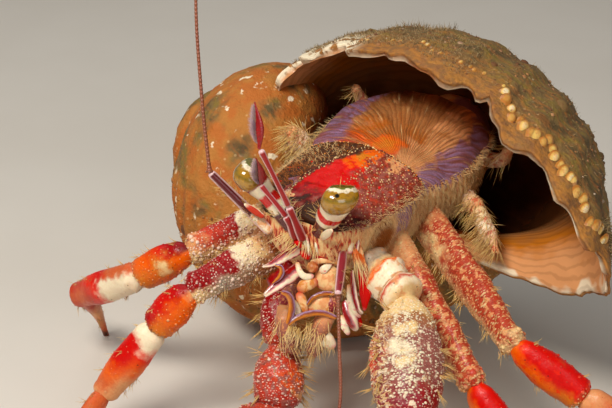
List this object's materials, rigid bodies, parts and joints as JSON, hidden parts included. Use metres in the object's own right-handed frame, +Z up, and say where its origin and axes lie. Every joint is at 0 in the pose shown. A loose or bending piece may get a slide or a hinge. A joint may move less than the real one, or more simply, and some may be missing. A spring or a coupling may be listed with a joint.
{
  "type": "hermit crab model",
  "caption": "Still, life-size great red hermit crab standing in a thin tun shell, with banded legs, unequal claws, stalked eyes and feelers.",
  "frame": {"origin": "middle of the base of the whole model's box, on the floor it stands on", "axes": "+Z up, -Y the way the animal faces, +X to its left"},
  "size_m": [0.1146, 0.109, 0.0996],
  "materials": {
    "cornea": "wet gloss",
    "flagellum": "satin",
    "orange_cuticle": "wet gloss",
    "pale_cuticle": "satin",
    "red_cuticle": "wet gloss",
    "shell": "rough outside, satin inside",
    "soft_cuticle": "satin"
  },
  "bodies": {
    "root": {"abdomen": "soft_cuticle", "acicle_l": "pale_cuticle", "acicle_r": "pale_cuticle", "antenna_base_l": "red_cuticle", "antenna_base_r": "red_cuticle", "antennule_brush_l": "red_cuticle", "antennule_brush_r": "red_cuticle", "antennule_l": "red_cuticle", "antennule_r": "red_cuticle", "claw_l_carpus": "red_cuticle", "claw_l_dactyl": "red_cuticle", "claw_l_fixed_finger": "red_cuticle", "claw_l_ischium": "red_cuticle", "claw_l_merus": "red_cuticle", "claw_l_palm": "red_cuticle", "claw_r_carpus": "red_cuticle", "claw_r_dactyl": "red_cuticle", "claw_r_fixed_finger": "red_cuticle", "claw_r_ischium": "red_cuticle", "claw_r_merus": "red_cuticle", "claw_r_palm": "red_cuticle", "cornea_l": "cornea", "cornea_r": "cornea", "eyestalk_l": "red_cuticle", "eyestalk_r": "red_cuticle", "flagellum1_l": "flagellum", "flagellum1_r": "flagellum", "flagellum2_l": "flagellum", "flagellum2_r": "flagellum", "leg2_l_carpus": "red_cuticle", "leg2_l_dactyl": "orange_cuticle", "leg2_l_merus": "red_cuticle", "leg2_l_propodus": "orange_cuticle", "leg2_r_carpus": "red_cuticle", "leg2_r_dactyl": "orange_cuticle", "leg2_r_merus": "red_cuticle", "leg2_r_propodus": "orange_cuticle", "leg3_l_carpus": "red_cuticle", "leg3_l_dactyl": "orange_cuticle", "leg3_l_merus": "red_cuticle", "leg3_l_propodus": "orange_cuticle", "leg3_r_carpus": "red_cuticle", "leg3_r_dactyl": "orange_cuticle", "leg3_r_merus": "red_cuticle", "leg3_r_propodus": "orange_cuticle", "leg4_l_lower": "pale_cuticle", "leg4_l_upper": "pale_cuticle", "leg4_r_lower": "pale_cuticle", "leg4_r_upper": "pale_cuticle", "leg5_l": "pale_cuticle", "leg5_r": "pale_cuticle", "maxilliped_l_lower": "pale_cuticle", "maxilliped_l_upper": "red_cuticle", "maxilliped_r_lower": "pale_cuticle", "maxilliped_r_upper": "red_cuticle", "mouth": "pale_cuticle", "rear_carapace": "soft_cuticle", "shell": "shell", "shield": "red_cuticle", "thorax": "red_cuticle"}
  },
  "joints": []
}
